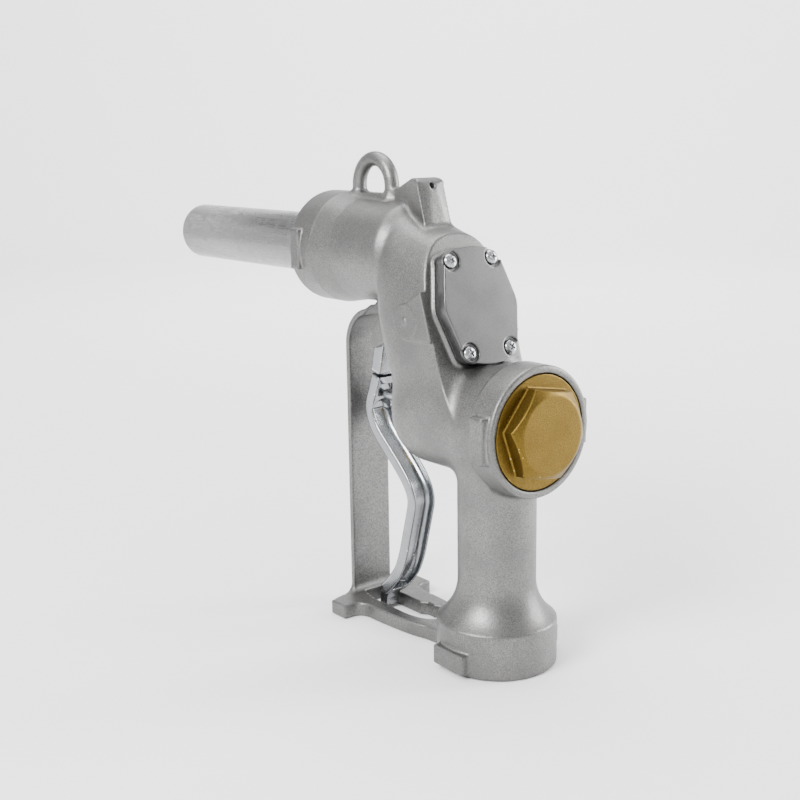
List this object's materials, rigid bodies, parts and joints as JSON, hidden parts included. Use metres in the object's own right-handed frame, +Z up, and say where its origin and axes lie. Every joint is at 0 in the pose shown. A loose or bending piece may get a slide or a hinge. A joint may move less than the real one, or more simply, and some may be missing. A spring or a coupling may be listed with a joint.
{
  "type": "fuel nozzle",
  "caption": "Automatic shut-off fuel nozzle: cast body with upright handle, squeeze lever in a guard, rear shut-off cover, hexagon cap, hanging loop and long straight spout.",
  "frame": {"origin": "centre of the hose collar's lower face, at the foot of the handle", "axes": "+Z up along the handle's axis, +Y along the spout towards its tip, +X to the nozzle's right"},
  "size_m": [0.0794, 0.3603, 0.2883],
  "materials": {
    "cast_aluminium": "sand cast and bead blasted, light warm grey",
    "cover_aluminium": "satin",
    "drawn_aluminium": "satin, drawn lengthways",
    "lever_aluminium": "tumbled, brighter than the body",
    "cap_brass": "blasted",
    "valve_brass": "machined",
    "zinc_steel": "zinc plated",
    "spring_steel": "ground",
    "seal_rubber": "matte"
  },
  "bodies": {
    "body": {"body_casting": "cast_aluminium", "lever_guard": "cast_aluminium", "spout_adapter": "cast_aluminium", "spout_tube": "drawn_aluminium", "spout_o_ring": "seal_rubber", "adapter_o_ring": "seal_rubber", "spout_set_screw": "zinc_steel", "check_spring": "spring_steel", "vent_tube": "spring_steel", "valve_seat": "valve_brass", "gland_nut": "valve_brass", "gland_packing": "seal_rubber", "main_spring": "spring_steel", "poppet_cap": "cap_brass", "cap_o_ring": "seal_rubber", "cover_screw_1": "zinc_steel", "cover_screw_2": "zinc_steel", "cover_screw_3": "zinc_steel", "cover_screw_4": "zinc_steel", "diaphragm_cover": "cover_aluminium", "diaphragm": "seal_rubber", "diaphragm_spring": "spring_steel", "plunger_sleeve": "valve_brass", "plunger_seal": "seal_rubber", "plunger_spring": "spring_steel", "fin_plug": "spring_steel"},
    "valve": {"valve_stem": "spring_steel", "poppet": "valve_brass", "poppet_seal": "seal_rubber", "seal_retainer": "valve_brass"},
    "trip": {"trip_plunger": "spring_steel", "trip_link": "lever_aluminium", "link_pin": "spring_steel", "lever_pivot_pin": "spring_steel"},
    "lever": {"lever": "lever_aluminium"},
    "latch": {"latch_pin": "spring_steel", "diaphragm_plate_outer": "spring_steel", "diaphragm_plate_inner": "spring_steel"},
    "ball_left": {"latch_ball_left": "spring_steel"},
    "ball_right": {"latch_ball_right": "spring_steel"},
    "check": {"check_poppet": "valve_brass"}
  },
  "joints": [
    {"name": "trip_slide", "type": "slide", "parent": "body", "child": "trip", "axis": [0, 0.9521, -0.3057], "range_m": [0, 0.006], "stiffness_N_per_m": 800, "springref_m": -0.006, "deforming": ["plunger_spring"]},
    {"name": "lever_hinge", "type": "hinge", "parent": "trip", "child": "lever", "pos_m": [0, 0.101, 0.1606], "axis": [-1, 0, 0], "range_deg": [0, 19.5], "stiffness_Nm_per_rad": 6, "springref_deg": -8.59},
    {"name": "valve_slide", "type": "slide", "parent": "body", "child": "valve", "axis": [0, -1, 0], "range_m": [0, 0.007], "deforming": ["main_spring"]},
    {"name": "latch_slide", "type": "slide", "parent": "body", "child": "latch", "axis": [0, -0.9521, 0.3057], "range_m": [0, 0.003], "stiffness_N_per_m": 500, "springref_m": -0.004, "deforming": ["diaphragm", "diaphragm_spring"]},
    {"name": "ball_left_slide", "type": "slide", "parent": "trip", "child": "ball_left", "axis": [1, 0, 0], "range_m": [0, 0.0014]},
    {"name": "ball_right_slide", "type": "slide", "parent": "trip", "child": "ball_right", "axis": [-1, 0, 0], "range_m": [0, 0.0014]},
    {"name": "check_slide", "type": "slide", "parent": "body", "child": "check", "axis": [0, 1, 0], "range_m": [0, 0.006], "stiffness_N_per_m": 150, "springref_m": -0.006, "deforming": ["check_spring"]}
  ],
  "couplings": [
    {"joint": "valve_slide", "follows": "lever_hinge", "m_per_rad": 0.0203},
    {"joint": "ball_left_slide", "follows": "trip_slide", "ratio": 0.2333},
    {"joint": "ball_right_slide", "follows": "trip_slide", "ratio": 0.2333}
  ]
}
